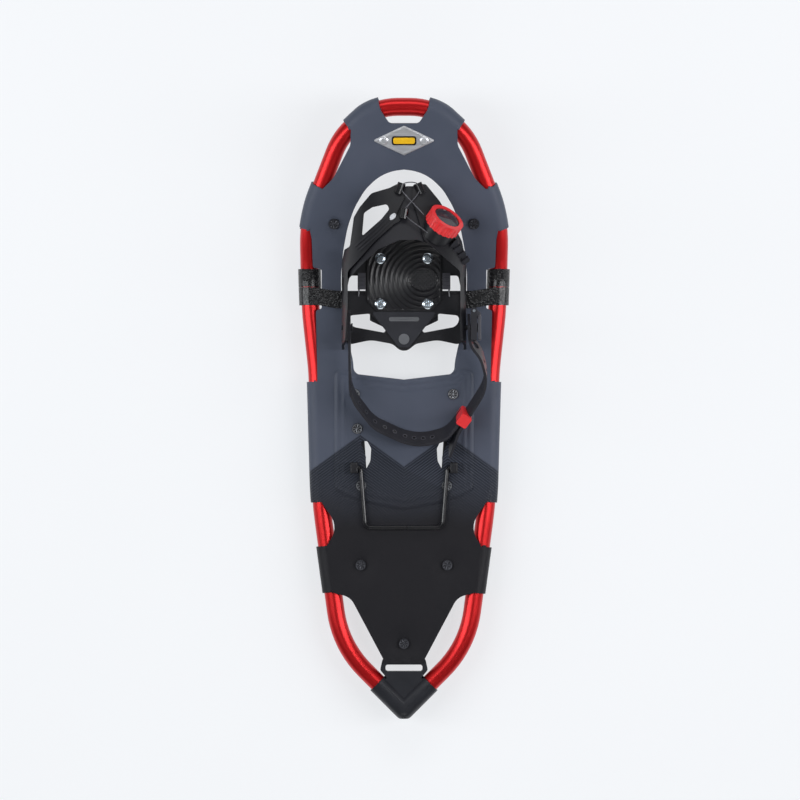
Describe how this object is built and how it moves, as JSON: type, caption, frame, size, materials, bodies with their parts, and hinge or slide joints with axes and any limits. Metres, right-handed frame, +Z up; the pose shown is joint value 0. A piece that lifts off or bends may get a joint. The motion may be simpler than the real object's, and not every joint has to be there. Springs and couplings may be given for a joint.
{
  "type": "snowshoe",
  "caption": "Snowshoe with a bent tube frame, wrapped sheet deck, toothed crampons, swinging toe binding with lace dial, heel strap and fold-up heel lift.",
  "frame": {"origin": "middle of the shoe's footprint, at the level of the crampon tips it stands on", "axes": "+Y towards the nose, +Z up, +X to the wearer's right when facing the nose"},
  "size_m": [0.218, 0.635, 0.1227],
  "materials": {
    "frame_anodised": "satin anodised red",
    "moulded_black": "fine moulded texture",
    "deck_sheet": "coated cloth, slate grey fading to black at the tail",
    "black_metal": "black powder coat",
    "badge_metal": "brushed, with an amber inlay",
    "pad_skin": "matte wear skin",
    "strap_rubber": "pebbled rubber",
    "footbed_black": "ridged rubber",
    "zinc": "zinc plated",
    "harness_black": "soft moulded skin",
    "vamp_skin": "smooth coated webbing",
    "smoke_grey": "smoky moulded plastic",
    "strap_grey": "flexible moulded strap",
    "lace_wire": "fine braided lace",
    "dial_red": "satin moulded red"
  },
  "bodies": {
    "frame": {"frame_tube": "frame_anodised", "tail_cap": "moulded_black", "deck": "deck_sheet", "nose_badge": "badge_metal", "badge_rivets": "black_metal", "shoulder_rivets": "black_metal", "pad_rivets": "black_metal", "rear_rivets": "black_metal", "tail_rivet": "black_metal", "heel_pad": "pad_skin", "heel_crampon_left": "black_metal", "heel_crampon_right": "black_metal", "heel_lift_clip_left": "moulded_black", "heel_lift_clip_right": "moulded_black", "suspension_wrap_left": "strap_rubber", "suspension_wrap_right": "strap_rubber"},
    "binding": {"suspension_strap": "strap_rubber", "footbed": "footbed_black", "footbed_screws": "zinc", "footbed_nuts": "zinc", "toe_crampon": "black_metal", "harness_base": "harness_black", "rear_clamp_plate": "black_metal", "clamp_rivet": "black_metal", "wing_left": "harness_black", "wing_right": "harness_black", "vamp_pad": "vamp_skin", "side_tab_left": "smoke_grey", "side_tab_right": "smoke_grey", "wing_ladder": "moulded_black", "lace_guides": "moulded_black", "lace": "lace_wire", "dial_base": "moulded_black", "dial_post": "zinc", "strap_pin_left": "black_metal", "strap_pin_right": "black_metal"},
    "heel_lift": {"heel_lift_bail": "black_metal"},
    "heel_strap": {"heel_strap_left": "strap_grey", "heel_strap_right": "strap_grey", "strap_clip": "dial_red", "buckle_body": "moulded_black", "buckle_pin": "zinc"},
    "buckle_lever": {"buckle_lever": "smoke_grey"},
    "dial_carrier": {"dial_carrier": "moulded_black"},
    "dial_knob": {"dial_ring": "dial_red", "dial_cap": "moulded_black", "dial_spool": "moulded_black"}
  },
  "joints": [
    {"name": "binding_pivot", "type": "hinge", "parent": "frame", "child": "binding", "pos_m": [0, 0.1135, 0.0424], "axis": [-1, 0, 0], "range_deg": [0, 14], "stiffness_Nm_per_rad": 1.2},
    {"name": "heel_lift_hinge", "type": "hinge", "parent": "frame", "child": "heel_lift", "pos_m": [0, -0.059, 0.0463], "axis": [-1, 0, 0], "range_deg": [0, 95]},
    {"name": "heel_strap_swing", "type": "hinge", "parent": "binding", "child": "heel_strap", "pos_m": [0, 0.084, 0.08], "axis": [-1, 0, 0], "range_deg": [0, 30]},
    {"name": "buckle_lever_hinge", "type": "hinge", "parent": "heel_strap", "child": "buckle_lever", "pos_m": [0.071, 0.101, 0.08], "axis": [0, 0, 1], "range_deg": [0, 60]},
    {"name": "dial_lift", "type": "slide", "parent": "binding", "child": "dial_carrier", "axis": [0.499, 0.7085, 0.499], "range_m": [0, 0.0035]},
    {"name": "dial_turn", "type": "hinge", "parent": "dial_carrier", "child": "dial_knob", "pos_m": [0.034, 0.181, 0.097], "axis": [0.499, 0.7085, 0.499], "continuous": true}
  ]
}
